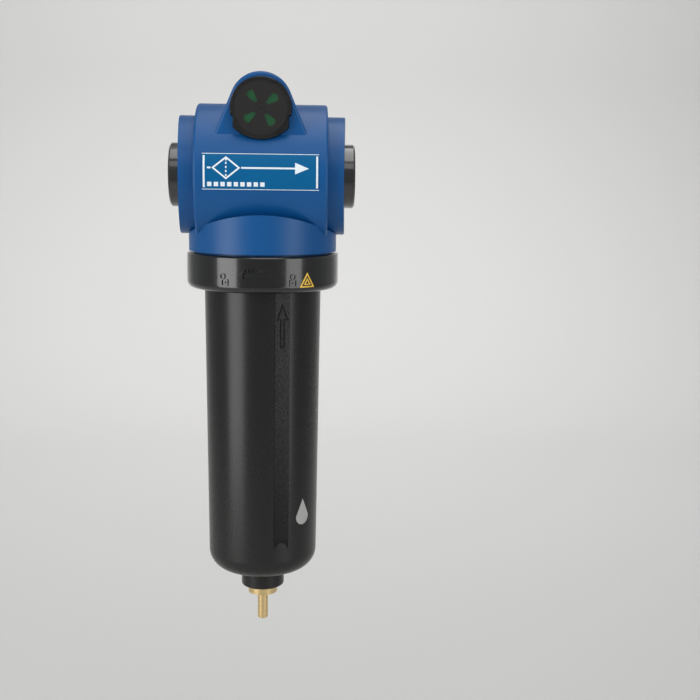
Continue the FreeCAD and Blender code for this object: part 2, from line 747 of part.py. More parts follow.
# ---------------------------------------------------------------- drain
drain_body = turned(
    "drain_body",
    [
        ("outlet_bore", "drain_flange_base"),
        ("drain_flange_radius", "drain_flange_base"),
        ("drain_flange_radius", "drain_flange_top"),
        ("drain_neck_radius", "drain_flange_top"),
        ("drain_neck_radius", "drain_neck_top"),
        ("outlet_bore", "drain_neck_top"),
        ("outlet_bore", "outlet_top + 8"),
        ("seat_hole", "outlet_top + 7"),
        ("seat_hole", "outlet_top + 3"),
        ("outlet_bore", "outlet_top + 2"),
    ],
)
keep("drain_body", drain_body)
washer = turned(
    "drain_seal",
    [
        ("drain_neck_radius", "drain_flange_top"),
        ("drain_flange_radius - 0.6", "drain_flange_top"),
        ("drain_flange_radius - 0.6", "boss_base"),
        ("drain_neck_radius", "boss_base"),
    ],
)
keep("drain_seal", washer)
nut_hexagon = doc.addObject("Part::Prism", "nut_hexagon")
nut_hexagon.Polygon = 6
bind(nut_hexagon, Circumradius="nut_corner", Height="nut_height")
place(nut_hexagon, z="bowl_foot + bowl_wall")
nut_hole = rod("nut_hole", "drain_neck_radius", "6", z="bowl_foot + bowl_wall - 0.5")
keep("drain_lock_nut", less("drain_lock_nut", nut_hexagon, nut_hole))
stem = turned(
    "drain_stem",
    [
        ("stem_hole", "0"),
        ("outlet_radius - 0.5", "0"),
        ("outlet_radius", "0.5"),
        ("outlet_radius", "drain_flange_base - 0.5"),
        ("shank_radius", "drain_flange_base - 0.5"),
        ("shank_radius", "drain_flange_base + 6"),
        ("shank_radius - 0.8", "drain_flange_base + 6"),
        ("shank_radius - 0.8", "drain_flange_base + 7.6"),
        ("shank_radius", "drain_flange_base + 7.6"),
        ("shank_radius", "outlet_top"),
        ("stem_hole", "outlet_top"),
    ],
)
keep("drain_stem", stem)
stem_ring = hoop("drain_stem_o_ring", "shank_radius - 0.38", "0.4", z="drain_flange_base + 6.8")
keep("drain_stem_o_ring", stem_ring)

float_ring = turned(
    "float",
    [
        ("float_bore", "float_base"),
        ("float_radius", "float_base"),
        ("float_radius", "float_top"),
        ("0", "float_top"),
        ("0", "float_top - 2.5"),
        ("float_bore", "float_top - 2.5"),
    ],
)
rounded(float_ring, "2", ("float_radius", "float_base"), ("float_radius", "float_top"))
keep("float", float_ring)
plunger = turned(
    "valve_plunger",
    [
        ("0", "outlet_top + 8.4"),
        ("1.2", "outlet_top + 8.4"),
        ("3.2", "outlet_top + 11"),
        ("3.2", "float_top - 2.5"),
        ("0", "float_top - 2.5"),
    ],
)
keep("valve_plunger", plunger)

# ---------------------------------------------------------------- filter element
plate_bar = rod("plate_bar", "plate_radius", "plate_top - plate_base", z="plate_base")
nozzle_bars = []
nozzle_bores = []
for side, x in (("in", "-nozzle_spread"), ("out", "nozzle_spread")):
    nozzle = turned(
        f"nozzle_{side}",
        [
            ("0", "plate_base"),
            ("nozzle_radius", "plate_base"),
            ("nozzle_radius", "nozzle_top - 6.8"),
            ("nozzle_radius - 1", "nozzle_top - 6.8"),
            ("nozzle_radius - 1", "nozzle_top - 5"),
            ("nozzle_radius", "nozzle_top - 5"),
            ("nozzle_radius", "nozzle_top - 1"),
            ("nozzle_radius - 0.8", "nozzle_top"),
            ("0", "nozzle_top"),
        ],
    )
    nozzle_bars.append(place(nozzle, x=x))
    nozzle_bores.append(rod(f"nozzle_bore_{side}", "nozzle_bore", "40", x=x, z="plate_base - 5"))
    keep(
        f"nozzle_o_ring_{side}",
        hoop(f"nozzle_o_ring_{side}", "nozzle_radius - 0.36", "0.6", x=x, z="nozzle_top - 5.9"),
    )
tab_notch = block(
    "tab_notch", "tab_depth + 2", "tab_width", "5",
    x="-plate_radius - 2", y="-tab_width / 2", z="plate_base - 1",
)
plate_solid = joined("plate_solid", plate_bar, *nozzle_bars)
keep("nozzle_plate", less("nozzle_plate", plate_solid, *nozzle_bores, tab_notch))
tab_block = block(
    "tab_block",
    "tab_depth + 2",
    "tab_width",
    "plate_top - plate_base + 0.6",
    x="-plate_radius - 2",
    y="-tab_width / 2",
    z="plate_base",
)
tab_limit = rod("tab_limit", "plate_radius + 0.2", "10", z="plate_base - 2")
keep("red_tab", shared("red_tab", tab_block, tab_limit))


def stadium(name, radius, base, top):
    """An upright slot-shaped solid over the inlet nozzle and the element's centre."""
    tall = f"({top}) - ({base})"
    left = rod(f"{name}_left", radius, tall, x="-nozzle_spread", z=base)
    right = rod(f"{name}_right", radius, tall, z=base)
    middle = block(
        f"{name}_middle", "nozzle_spread", f"2 * ({radius})", tall, x="-nozzle_spread", y=f"-({radius})", z=base
    )
    return joined(name, left, middle, right)


duct = less(
    "feed_duct",
    stadium("duct_outside", "nozzle_bore + duct_wall", "top_cap_top", "plate_base"),
    stadium("duct_inside", "nozzle_bore", "top_cap_top - 1", "plate_base + 1"),
)
keep("feed_duct", duct)
pillars = []
for number, angle in enumerate((-62, -20, 20, 62)):
    turn = math.radians(angle)
    pillar = rod(
        f"pillar_{number}",
        "pillar_radius",
        "plate_base - top_cap_top",
        x=f"(cap_radius - 5) * {math.cos(turn):.4f}",
        y=f"(cap_radius - 5) * {math.sin(turn):.4f}",
        z="top_cap_top",
    )
    pillars.append(pillar)
keep("spacer_pillars", joined("spacer_pillars", *pillars))

top_cap = turned(
    "top_cap",
    [
        ("nozzle_bore", "top_cap_top - cap_floor"),
        ("nozzle_bore", "top_cap_top"),
        ("cap_radius", "top_cap_top"),
        ("cap_radius", "top_cap_top - cap_height"),
        ("sleeve_radius + 0.1", "top_cap_top - cap_height"),
        ("sleeve_radius + 0.1", "top_cap_top - cap_floor"),
    ],
)
rounded(top_cap, "1.2", ("cap_radius", "top_cap_top"))
keep("top_cap", top_cap)
bottom_cap = turned(
    "bottom_cap",
    [
        ("0", "bottom_cap_base"),
        ("cap_radius", "bottom_cap_base"),
        ("cap_radius", "bottom_cap_base + cap_height"),
        ("sleeve_radius + 0.1", "bottom_cap_base + cap_height"),
        ("sleeve_radius + 0.1", "bottom_cap_base + cap_floor"),
        ("0", "bottom_cap_base + cap_floor"),
    ],
)
rounded(bottom_cap, "1.2", ("cap_radius", "bottom_cap_base"))
keep("bottom_cap", bottom_cap)


def layer(name, radius, bore):
    """One round layer of the element, between the two caps' floors."""
    return keep(
        name,
        turned(
            name,
            [
                (bore, "bottom_cap_base + cap_floor"),
                (radius, "bottom_cap_base + cap_floor"),
                (radius, "top_cap_top - cap_floor"),
                (bore, "top_cap_top - cap_floor"),
            ],
        ),
    )


layer("mesh_sleeve", "sleeve_radius", "sleeve_radius - sleeve_wall")
layer("pleated_media", "media_radius", "media_bore")
layer("inner_core", "core_radius", "core_radius - core_wall")

# ---------------------------------------------------------------- checks and export
doc.recompute()
for thing in doc.Objects:
    bad = [state for state in thing.State if state in ("Invalid", "Error")]
    if bad:
        raise RuntimeError(f"{thing.Name} is {bad}")
for name, thing in nodes.items():
    shape = thing.Shape
    if shape.isNull() or not shape.isValid() or not shape.Solids:
        raise RuntimeError(f"{name} has no sound solid")

os.makedirs("parts", exist_ok=True)
for name, thing in nodes.items():
    thing.Shape.exportStep(os.path.join("parts", f"{name}.step"))
    print(name, len(thing.Shape.Solids), round(thing.Shape.Volume, 1))
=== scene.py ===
import math

import bmesh
import bpy
from mathutils import Matrix, Vector


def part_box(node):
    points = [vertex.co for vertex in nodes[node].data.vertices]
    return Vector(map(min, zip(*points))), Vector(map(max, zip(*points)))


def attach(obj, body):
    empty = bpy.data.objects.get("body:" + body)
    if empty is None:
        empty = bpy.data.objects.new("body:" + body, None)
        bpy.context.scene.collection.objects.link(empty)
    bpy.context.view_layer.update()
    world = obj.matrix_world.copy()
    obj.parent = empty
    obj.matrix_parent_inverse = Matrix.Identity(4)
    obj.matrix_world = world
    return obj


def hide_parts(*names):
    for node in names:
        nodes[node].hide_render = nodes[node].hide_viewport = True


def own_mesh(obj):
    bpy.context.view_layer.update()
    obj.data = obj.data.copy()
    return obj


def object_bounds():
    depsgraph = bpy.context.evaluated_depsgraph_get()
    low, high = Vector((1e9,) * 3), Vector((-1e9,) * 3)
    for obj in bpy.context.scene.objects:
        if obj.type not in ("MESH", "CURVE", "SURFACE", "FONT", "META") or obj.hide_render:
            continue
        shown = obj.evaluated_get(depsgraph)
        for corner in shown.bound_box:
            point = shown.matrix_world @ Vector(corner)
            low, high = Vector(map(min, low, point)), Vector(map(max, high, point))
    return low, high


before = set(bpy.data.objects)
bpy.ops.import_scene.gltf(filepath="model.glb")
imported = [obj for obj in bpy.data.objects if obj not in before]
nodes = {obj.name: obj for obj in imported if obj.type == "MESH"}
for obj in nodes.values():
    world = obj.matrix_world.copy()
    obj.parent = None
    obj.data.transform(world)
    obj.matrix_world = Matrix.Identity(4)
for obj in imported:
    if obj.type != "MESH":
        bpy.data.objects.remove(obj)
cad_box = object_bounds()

scene = bpy.context.scene

# ---------------------------------------------------------------- studio
# A pale paper sweep, two tall softboxes in front and an overhead one, as in a catalogue studio.
# The sweep lies well under the drain, because the housing hangs on its pipes and its bowl is let down.
low = Vector(cad_box[0])
port_height = (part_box("inlet_port_adapter")[0].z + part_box("inlet_port_adapter")[1].z) / 2

scene.view_settings.view_transform = "Standard"
scene.view_settings.look = "None"

camera_data = bpy.data.cameras.new("camera")
camera_data.lens = 56.57
camera_data.sensor_width = 36.0
camera_data.clip_start = 0.05
camera = bpy.data.objects.new("camera", camera_data)
scene.collection.objects.link(camera)
camera_pitch = math.radians(9.3)
camera_turn = math.radians(-2.72)
camera_roll = math.radians(0.75)
camera.location = (0.027, -0.828, port_height + 0.005)
camera.rotation_euler = (
    Matrix.Rotation(camera_turn, 4, "Z")
    @ Matrix.Rotation(math.radians(90) - camera_pitch, 4, "X")
    @ Matrix.Rotation(camera_roll, 4, "Z")
).to_euler()
scene.camera = camera


def add_softbox(name, place, aim, width, height, power, spread=180):
    """A rectangular lamp aimed at a point; spread is the full angle of its beam in degrees."""
    data = bpy.data.lights.new(name, "AREA")
    data.shape = "RECTANGLE"
    data.size = width
    data.size_y = height
    data.energy = power
    data.spread = math.radians(spread)
    lamp = bpy.data.objects.new(name, data)
    scene.collection.objects.link(lamp)
    lamp.location = place
    lamp.rotation_euler = (Vector(aim) - Vector(place)).to_track_quat("-Z", "Y").to_euler()


middle = (0, 0, port_height - 0.12)
add_softbox("softbox_left", (-1.05, -0.80, 0.30), middle, 0.75, 1.5, 14.0)
add_softbox("softbox_right", (1.02, -0.90, 0.30), middle, 0.60, 1.5, 7.6)
add_softbox("softbox_top", (0.15, -0.02, 1.6), middle, 1.6, 0.8, 10.6)
add_softbox("softbox_front", (0.0, -1.0, 1.15), middle, 1.2, 0.45, 2.2)
# The lamp over the backdrop has a narrow beam, so that it lights the paper and not the filter.
add_softbox("backdrop_light", (0.0, 0.9, 2.3), (0, 2.2, 0.2), 3.0, 0.8, 20.5, spread=104)

sweep_depth = 1.6
sweep_width = 6.0
sweep_front = -2.4
floor_drop = 0.27
sweep_floor = low.z - floor_drop
wall_height = 4.0
bend = 0.9
bm = bmesh.new()
profile = [bm.verts.new((-sweep_width / 2, y, sweep_floor)) for y in (sweep_front, sweep_depth)]
bm.edges.new(profile)
spun = bmesh.ops.spin(
    bm,
    geom=[profile[1]],
    cent=(0, sweep_depth, sweep_floor + bend),
    axis=(1, 0, 0),
    angle=math.radians(90),
    steps=24,
    use_duplicate=False,
)
tip = [v for v in spun["geom_last"] if isinstance(v, bmesh.types.BMVert)][0]
wall_top = bm.verts.new((-sweep_width / 2, sweep_depth + bend, sweep_floor + wall_height))
bm.edges.new((tip, wall_top))
lifted = bmesh.ops.extrude_edge_only(bm, edges=bm.edges[:])
moved = [v for v in lifted["geom"] if isinstance(v, bmesh.types.BMVert)]
bmesh.ops.translate(bm, verts=moved, vec=(sweep_width, 0, 0))
bmesh.ops.recalc_face_normals(bm, faces=bm.faces[:])
sweep_mesh = bpy.data.meshes.new("paper_sweep")
bm.to_mesh(sweep_mesh)
bm.free()
for face in sweep_mesh.polygons:
    face.use_smooth = True
sweep = bpy.data.objects.new("paper_sweep", sweep_mesh)
scene.collection.objects.link(sweep)
paper = bpy.data.materials.new("sweep_paper")
paper.use_nodes = True
paper_shader = paper.node_tree.nodes["Principled BSDF"]
paper_shader.inputs["Base Color"].default_value = (0.62, 0.615, 0.60, 1)
paper_shader.inputs["Roughness"].default_value = 0.9
sweep_mesh.materials.append(paper)

world = bpy.data.worlds.new("studio_air")
world.use_nodes = True
world.node_tree.nodes["Background"].inputs["Color"].default_value = (0.95, 0.97, 1.0, 1)
world.node_tree.nodes["Background"].inputs["Strength"].default_value = 0.34
scene.world = world

# ---------------------------------------------------------------- head casting
# Pressure die casting in aluminium, shot-blasted and powder-coated in blue: a satin skin with a
# fine orange peel, a little uneven in gloss. The CAD mesh is kept.


def new_group(name, inputs, outputs):
    """A shader node group with named sockets: (name, kind, default) in, (name, kind) out."""
    group = bpy.data.node_groups.new(name, "ShaderNodeTree")
    for label, kind, value in inputs:
        socket = group.interface.new_socket(name=label, in_out="INPUT", socket_type=kind)
        if value is not None:
            socket.default_value = value
    for label, kind in outputs:
        group.interface.new_socket(name=label, in_out="OUTPUT", socket_type=kind)
    return group, group.nodes.new("NodeGroupInput"), group.nodes.new("NodeGroupOutput")


def math_node(tree, operation, a, b=None, c=None):
    """One Math node; a, b and c are numbers or sockets. Returns its output."""
    node = tree.nodes.new("ShaderNodeMath")
    node.operation = operation
    for slot, value in zip(node.inputs, (a, b, c)):
        if isinstance(value, (int, float)):
            slot.default_value = value
        elif value is not None:
            tree.links.new(value, slot)
    return node.outputs[0]


def mix_colour(tree, factor, first, second):
    """One colour Mix node between two colour sockets. Returns its output."""
    node = tree.nodes.new("ShaderNodeMix")
    node.data_type = "RGBA"
    for number, socket in ((0, factor), (6, first), (7, second)):
        tree.links.new(socket, node.inputs[number])
    return node.outputs[2]


# Fine grain and slow blotches that every moulded, cast or coated skin of the filter shows.
skin, skin_in, skin_out = new_group(
    "worked_skin",
    [
        ("Vector", "NodeSocketVector", None),
        ("Colour", "NodeSocketColor", (0.5, 0.5, 0.5, 1)),
        ("Dark Share", "NodeSocketFloat", 0.85),
        ("Roughness", "NodeSocketFloat", 0.4),
        ("Roughness Spread", "NodeSocketFloat", 0.1),
        ("Grain Scale", "NodeSocketFloat", 1000.0),
        ("Blotch Scale", "NodeSocketFloat", 40.0),
    ],
    [("Colour", "NodeSocketColor"), ("Roughness", "NodeSocketFloat"), ("Height", "NodeSocketFloat")],
)
grain = skin.nodes.new("ShaderNodeTexNoise")
grain.inputs["Detail"].default_value = 3.0
skin.links.new(skin_in.outputs["Vector"], grain.inputs["Vector"])
skin.links.new(skin_in.outputs["Grain Scale"], grain.inputs["Scale"])
blotch = skin.nodes.new("ShaderNodeTexNoise")
blotch.inputs["Detail"].default_value = 4.0
skin.links.new(skin_in.outputs["Vector"], blotch.inputs["Vector"])
skin.links.new(skin_in.outputs["Blotch Scale"], blotch.inputs["Scale"])
darker = skin.nodes.new("ShaderNodeVectorMath")
darker.operation = "SCALE"
skin.links.new(skin_in.outputs["Colour"], darker.inputs[0])
skin.links.new(skin_in.outputs["Dark Share"], darker.inputs["Scale"])
mottled = mix_colour(skin, blotch.outputs["Fac"], skin_in.outputs["Colour"], darker.outputs[0])
skin.links.new(mottled, skin_out.inputs["Colour"])
drift = math_node(skin, "SUBTRACT", blotch.outputs["Fac"], 0.5)
spread_in = skin_in.outputs["Roughness Spread"]
sway = math_node(skin, "MULTIPLY_ADD", drift, spread_in, skin_in.outputs["Roughness"])
fleck = math_node(skin, "SUBTRACT", grain.outputs["Fac"], 0.5)
speckle = math_node(skin, "MULTIPLY", fleck, spread_in)
skin.links.new(math_node(skin, "ADD", sway, speckle), skin_out.inputs["Roughness"])
skin.links.new(grain.outputs["Fac"], skin_out.inputs["Height"])


def new_finish(
    name,
    settings,
    colour,
    dark=0.85,
    rough=0.4,
    spread=0.1,
    grain=1000.0,
    blotch=40.0,
    bump=0.00003,
    stretch=None,
):
    """A material with the colour, gloss and relief of worked_skin, stretched where a lay is given."""
    finish = bpy.data.materials.new(name)
    finish.use_nodes = True
    tree = finish.node_tree
    shader = tree.nodes["Principled BSDF"]
    for socket, value in settings.items():
        shader.inputs[socket].default_value = value
    place = tree.nodes.new("ShaderNodeTexCoord").outputs["Object"]
    if stretch:
        lay = tree.nodes.new("ShaderNodeMapping")
        lay.inputs["Scale"].default_value = stretch
        tree.links.new(place, lay.inputs["Vector"])
        place = lay.outputs["Vector"]
    group = tree.nodes.new("ShaderNodeGroup")
    group.node_tree = skin
    tree.links.new(place, group.inputs["Vector"])
    group.inputs["Colour"].default_value = (*colour, 1)
    group.inputs["Dark Share"].default_value = dark
    group.inputs["Roughness"].default_value = rough
    group.inputs["Roughness Spread"].default_value = spread
    group.inputs["Grain Scale"].default_value = grain
    group.inputs["Blotch Scale"].default_value = blotch
    relief = tree.nodes.new("ShaderNodeBump")
    relief.inputs["Strength"].default_value = 1.0
    relief.inputs["Distance"].default_value = bump
    tree.links.new(group.outputs["Height"], relief.inputs["Height"])
    tree.links.new(group.outputs["Colour"], shader.inputs["Base Color"])
    tree.links.new(group.outputs["Roughness"], shader.inputs["Roughness"])
    tree.links.new(relief.outputs["Normal"], shader.inputs["Normal"])
    return finish


def dress(node, finish):
    """Gives a CAD node its finish."""
    mesh = nodes[node].data
    mesh.materials.clear()
    mesh.materials.append(finish)


powder_coat = new_finish(
    "blue_powder_coat",
    {"Specular IOR Level": 0.34},
    (0.001, 0.074, 0.244),
    dark=0.88,
    rough=0.38,
    spread=0.12,
    grain=1500.0,
    blotch=30.0,
    bump=0.00003,
)
dress("head_casting", powder_coat)

# ---------------------------------------------------------------- port adapters
# Turned black adapters screwed into both sides, with the pipe thread cut in their bore.
black_enamel = new_finish(
    "black_enamel",
    {"Specular IOR Level": 0.6, "Coat Weight": 0.8, "Coat Roughness": 0.04},
    (0.009, 0.009, 0.009),
    dark=0.7,
    rough=0.24,
    spread=0.10,
    grain=420.0,
    blotch=25.0,
    bump=0.00002,
)
rubber = new_finish(
    "seal_rubber",
    {"Specular IOR Level": 0.35},
    (0.016, 0.016, 0.017),
    dark=0.6,
    rough=0.62,
    spread=0.2,
    grain=2200.0,
    blotch=120.0,
    bump=0.00003,
)
thread_pitch = 0.00231
thread_depth = 0.0011
thread_radius = 0.01515
thread_turns = 7
thread_steps = 48
thread_ridge = [(-0.45, 0.0), (-0.08, 1.0), (0.08, 1.0), (0.45, 0.0)]
thread_sink = 0.00002
for side, outward in (("inlet", -1), ("outlet", 1)):
    dress(f"{side}_port_adapter", black_enamel)
    dress(f"{side}_port_o_ring", rubber)
    adapter_low, adapter_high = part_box(f"{side}_port_adapter")
    inner = adapter_low.x if outward > 0 else adapter_high.x
    bm = bmesh.new()
    start = inner + outward * thread_pitch * 0.5
    corners = [
        bm.verts.new((start + across * thread_pitch, 0, thread_radius - up * thread_depth + thread_sink))
        for across, up in thread_ridge
    ]
    section = [bm.edges.new(pair) for pair in zip(corners, corners[1:])]
    bmesh.ops.spin(
        bm,
        geom=corners + section,
        cent=(0, 0, 0),
        axis=(1, 0, 0),
        dvec=(outward * thread_pitch / thread_steps, 0, 0),
        angle=math.tau * thread_turns,
        steps=thread_steps * thread_turns,
        use_merge=False,
        use_duplicate=False,
    )
    bmesh.ops.translate(bm, verts=bm.verts[:], vec=(0, 0, port_height))
    bmesh.ops.recalc_face_normals(bm, faces=bm.faces[:])
    thread_mesh = bpy.data.meshes.new(f"{side}_port_thread")
    bm.to_mesh(thread_mesh)
    bm.free()
    thread_mesh.materials.append(black_enamel)
    thread = bpy.data.objects.new(f"{side}_port_thread", thread_mesh)
    scene.collection.objects.link(thread)
    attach(thread, "head")

# ---------------------------------------------------------------- name plate
# Printed film on the barrel's front: a teal field in a pale frame, a white bar at each end, and the
# drawing sign of a filter, a diamond with a broken line, with a flow arrow over a row of dashes.
label_film = new_finish(
    "teal_label_film",
    {"Specular IOR Level": 0.18},
    (0.0004, 0.104, 0.265),
    dark=0.9,
    rough=0.36,
    spread=0.08,
    grain=2600.0,
    blotch=60.0,
    bump=0.00001,
)
white_ink = new_finish(
    "white_ink",
    {"Specular IOR Level": 0.4},
    (0.74, 0.80, 0.84),
    dark=0.93,
    rough=0.38,
    spread=0.08,
    grain=3000.0,
    blotch=150.0,
    bump=0.00001,
)
dress("name_plate", label_film)


def flat_face(bm, corners):
    """One flat face in the X-Z plane, from its corners in millimetres."""
    return bm.faces.new([bm.verts.new((x / 1000, 0, z / 1000)) for x, z in corners])


def outlined(bm, corners, width):
    """The border of such a face."""
    face = flat_face(bm, corners)
    face.normal_update()
    bmesh.ops.inset_region(bm, faces=[face], thickness=width / 1000, use_even_offset=True, use_boundary=True)
    bmesh.ops.delete(bm, geom=[face], context="FACES_ONLY")


def bar(left, right, low_edge, high_edge):
    """The corners of an upright rectangle."""
    return [(left, low_edge), (right, low_edge), (right, high_edge), (left, high_edge)]


def circle(radius, across=0.0, up=0.0, corners=20):
    """The corners of a circle."""
    step = math.tau / corners
    return [(across + radius * math.cos(i * step), up + radius * math.sin(i * step)) for i in range(corners)]


slice_width = 0.0015


def thickened(bm, thick, slice_axis):
    """Gives flat marks their thickness, towards -Y, sliced finely enough to follow a curved wall."""
    reach = [v.co[slice_axis] for v in bm.verts]
    normal = Vector((0, 0, 0))
    normal[slice_axis] = 1
    for number in range(1, int((max(reach) - min(reach)) / slice_width) + 1):
        bmesh.ops.bisect_plane(
            bm,
            geom=bm.verts[:] + bm.edges[:] + bm.faces[:],
            plane_co=normal * (min(reach) + number * slice_width),
            plane_no=normal,
        )
    bmesh.ops.remove_doubles(bm, verts=bm.verts[:], dist=0.000001)
    bmesh.ops.recalc_face_normals(bm, faces=bm.faces[:])
    bmesh.ops.solidify(bm, geom=bm.faces[:], thickness=thick)
    back = max(v.co.y for v in bm.verts)
    bmesh.ops.translate(bm, verts=bm.verts[:], vec=(0, -back, 0))
    bmesh.ops.recalc_face_normals(bm, faces=bm.faces[:])


def finished(name, bm, finish, body, slot, *stands_for):
    """Makes a piece of the mesh, with its finish, the body it rides on and the nodes it stands for."""
    mesh = bpy.data.meshes.new(name)
    bm.to_mesh(mesh)
    bm.free()
    mesh.materials.append(finish)
    piece = bpy.data.objects.new(name, mesh)
    scene.collection.objects.link(piece)
    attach(piece, body)
    if stands_for:
        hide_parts(*stands_for)
    return piece


plate_wall = 0.05195
plate_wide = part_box("name_plate")[1].x * 1000
plate_ink = 0.00006
dash_pitch = 4.6
dash_start = -37.0
bm = bmesh.new()
for left, right, low_edge, high_edge in (
    (-plate_wide + 0.7, -plate_wide + 2.0, -8.2, 14.0),
    (plate_wide - 2.0, plate_wide - 0.7, -8.2, 14.0),
    (-plate_wide, plate_wide, 15.1, 15.5),
    (-plate_wide, plate_wide, -9.7, -9.3),
):
    flat_face(bm, bar(left, right, low_edge, high_edge))
sign = -24.0
outlined(bm, [(sign - 10, 5.4), (sign, -2.6), (sign + 10, 5.4), (sign, 13.4)], 1.1)
for low_edge in (-0.4, 2.4, 5.2, 8.0, 10.4):
    flat_face(bm, bar(sign - 0.5, sign + 0.5, low_edge, low_edge + 1.4))
flat_face(bm, bar(dash_start, sign - 10.6, 4.8, 6.0))
flat_face(bm, bar(sign + 10.6, 24.0, 4.8, 6.0))
flat_face(bm, [(24.0, 1.4), (33.6, 5.4), (24.0, 9.4)])
for number in range(9):
    left = dash_start + number * dash_pitch
    flat_face(bm, bar(left, left + 3.0, -7.4, -4.4))
thickened(bm, plate_ink, 2)
for v in bm.verts:
    turn = v.co.z / plate_wall
    radius = plate_wall - v.co.y
    v.co = (v.co.x, -radius * math.cos(turn), port_height + radius * math.sin(turn))
finished("name_plate_print", bm, white_ink, "head", "label_film")

# ---------------------------------------------------------------- pressure indicator
# A smoked window with a soft edge over a black mask with four fans. Behind it turns a red disc with
# green fans, driven by a spring-loaded piston with a magnet. The pot is sealed by an O-ring.
moulded_plastic = new_finish(
    "moulded_black_plastic",
    {"Specular IOR Level": 0.45},
    (0.022, 0.021, 0.020),
    dark=0.7,
    rough=0.36,
    spread=0.12,
    grain=1800.0,
    blotch=60.0,
    bump=0.00002,
)
mask_ink = new_finish(
    "mask_black",
    {"Specular IOR Level": 0.3},
    (0.050, 0.046, 0.043),
    dark=0.75,
    rough=0.55,
    spread=0.12,
    grain=2600.0,
    blotch=90.0,
    bump=0.00001,
)
green_ink = new_finish(
    "signal_green",
    {"Specular IOR Level": 0.4},
    (0.014, 0.62, 0.18),
    dark=0.75,
    rough=0.42,
    grain=2600.0,
    blotch=220.0,
    bump=0.00001,
)
red_ink = new_finish(
    "signal_red",
    {"Specular IOR Level": 0.4},
    (0.46, 0.035, 0.045),
    dark=0.8,
    rough=0.42,
    grain=2200.0,
    blotch=160.0,
    bump=0.00001,
)
drawn_steel = new_finish(
    "drawn_steel",
    {"Metallic": 1.0},
    (0.55, 0.55, 0.56),
    dark=0.75,
    rough=0.30,
    spread=0.15,
    grain=1500.0,
    blotch=120.0,
    bump=0.00001,
)
smoked = new_finish(
    "smoked_window",
    {"Specular IOR Level": 0.6, "Alpha": 0.38, "Coat Weight": 0.6, "Coat Roughness": 0.03},
    (0.018, 0.016, 0.015),
    dark=0.8,
    rough=0.10,
    spread=0.05,
    grain=3000.0,
    blotch=90.0,
    bump=0.000005,
)
dress("indicator_housing", moulded_plastic)
dress("indicator_o_ring", rubber)
dress("indicator_mask", mask_ink)
dress("indicator_rotor", red_ink)
dress("indicator_rotor_fans", green_ink)
dress("indicator_piston", moulded_plastic)
dress("indicator_magnet", drawn_steel)

bm = bmesh.new()
bm.from_mesh(nodes["indicator_lens"].data)
bmesh.ops.remove_doubles(bm, verts=bm.verts[:], dist=0.000001)
bmesh.ops.dissolve_limit(bm, angle_limit=math.radians(1), verts=bm.verts[:], edges=bm.edges[:])
lens_front = min(v.co.y for v in bm.verts)
lens_edge = 0.0009
rim = [edge for edge in bm.edges if all(abs(v.co.y - lens_front) < 0.00001 for v in edge.verts)]
bmesh.ops.bevel(bm, geom=rim, offset=lens_edge, segments=4, profile=0.5, affect="EDGES", material=-1)
finished("indicator_window", bm, smoked, "head", "smoked_lens", "indicator_lens")

mask_low, mask_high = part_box("indicator_mask")
dial_height = (mask_low.z + mask_high.z) / 2
cross_half = 0.0024
cross_stroke = 0.00022
bm = bmesh.new()
for tilt in (7, 97):
    turn = math.radians(tilt)
    along = Vector((math.cos(turn), 0, math.sin(turn))) * cross_half
    across = Vector((-math.sin(turn), 0, math.cos(turn))) * cross_stroke
    corners = (-along - across, along - across, along + across, -along + across)
    bm.faces.new([bm.verts.new(corner) for corner in corners])
bmesh.ops.solidify(bm, geom=bm.faces[:], thickness=0.0001)
bmesh.ops.recalc_face_normals(bm, faces=bm.faces[:])
bmesh.ops.translate(bm, verts=bm.verts[:], vec=(0, mask_low.y - 0.00006, dial_height))
finished("indicator_centre_mark", bm, drawn_steel, "head", "spring_steel")

spring_low, spring_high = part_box("indicator_spring")
wire_radius = 0.00035
coil_radius = (spring_high.x - spring_low.x) / 2 - wire_radius
coil_turns = 5
coil_steps = 24
coil_length = spring_high.y - spring_low.y - 2 * wire_radius
bm = bmesh.new()
section = bmesh.ops.create_circle(bm, cap_ends=False, segments=8, radius=wire_radius)["verts"]
bmesh.ops.rotate(bm, verts=section, cent=(0, 0, 0), matrix=Matrix.Rotation(math.radians(90), 3, "Y"))
bmesh.ops.translate(bm, verts=section, vec=(0, spring_low.y + wire_radius, coil_radius))
bmesh.ops.spin(
    bm,
    geom=bm.verts[:] + bm.edges[:],
    cent=(0, 0, 0),
    axis=(0, 1, 0),
    dvec=(0, coil_length / (coil_steps * coil_turns), 0),
    angle=math.tau * coil_turns,
    steps=coil_steps * coil_turns,
    use_merge=False,
    use_duplicate=False,
)
bmesh.ops.holes_fill(bm, edges=bm.edges[:], sides=0)
bmesh.ops.recalc_face_normals(bm, faces=bm.faces[:])
bmesh.ops.translate(bm, verts=bm.verts[:], vec=(0, 0, dial_height))
coil = finished("indicator_coil", bm, drawn_steel, "head", "spring_steel", "indicator_spring")
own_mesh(coil)

# ---------------------------------------------------------------- filter element, plug-in top
# One moulding in satin black: a round plate with two nozzles, a red tab pressed into its edge, a
# duct from the inlet nozzle to the element's middle, and pillars. O-rings seal the nozzles.
satin_plastic = new_finish(
    "satin_black_plastic",
    {"Specular IOR Level": 0.45},
    (0.030, 0.031, 0.032),
    dark=0.7,
    rough=0.42,
    spread=0.14,
    grain=1500.0,
    blotch=50.0,
    bump=0.00003,
)
for node in ("nozzle_plate", "feed_duct", "spacer_pillars", "top_cap", "bottom_cap"):
    dress(node, satin_plastic)
for node in ("nozzle_o_ring_in", "nozzle_o_ring_out"):
    dress(node, rubber)
dress("red_tab", red_ink)

